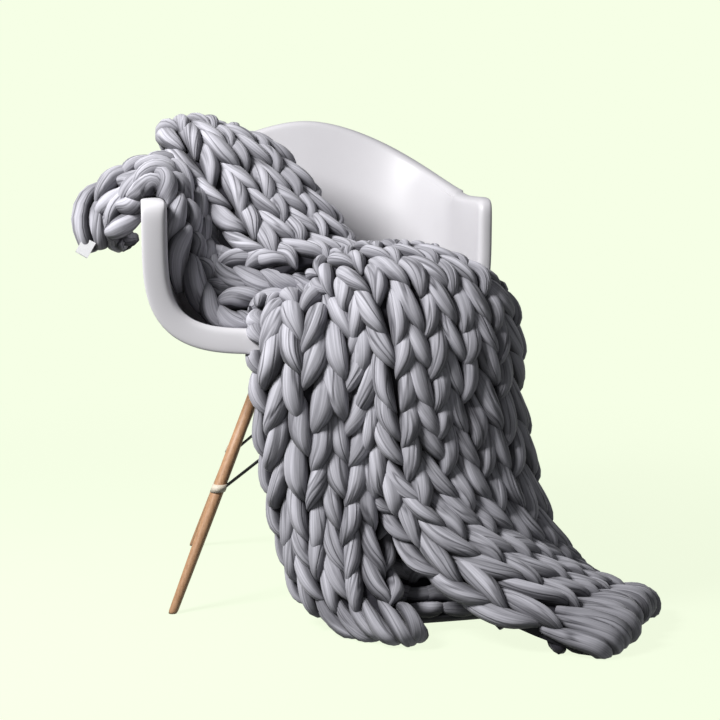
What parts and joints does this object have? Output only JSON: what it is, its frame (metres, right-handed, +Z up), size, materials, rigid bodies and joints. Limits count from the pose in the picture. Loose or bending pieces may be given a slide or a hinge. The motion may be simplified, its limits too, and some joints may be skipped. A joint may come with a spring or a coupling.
{
  "type": "chunky knit blanket draped over a moulded shell chair",
  "caption": "Thick chunky-knit throw blanket spilling off the seat and one arm of a low shell armchair down to the floor.",
  "frame": {"origin": "bottom centre of the whole object's bounding box, on the floor", "axes": "+Z up; the chair faces -Y; +X to the right when facing the chair's front, the blanket's long direction across the floor"},
  "size_m": [0.9326, 0.8142, 0.803],
  "materials": {
    "grey_knit": "brushed giant yarn, cool grey",
    "white_tape": "woven tape",
    "white_plastic": "satin moulded",
    "beech": "oiled, satin",
    "black_steel": "black, semi-gloss"
  },
  "bodies": {
    "root": {"blanket": "grey_knit", "label": "white_tape", "chair_shell": "white_plastic", "leg_left_front": "beech", "leg_left_back": "beech", "leg_right_front": "beech", "leg_right_back": "beech", "wire_brace": "black_steel"}
  },
  "joints": []
}
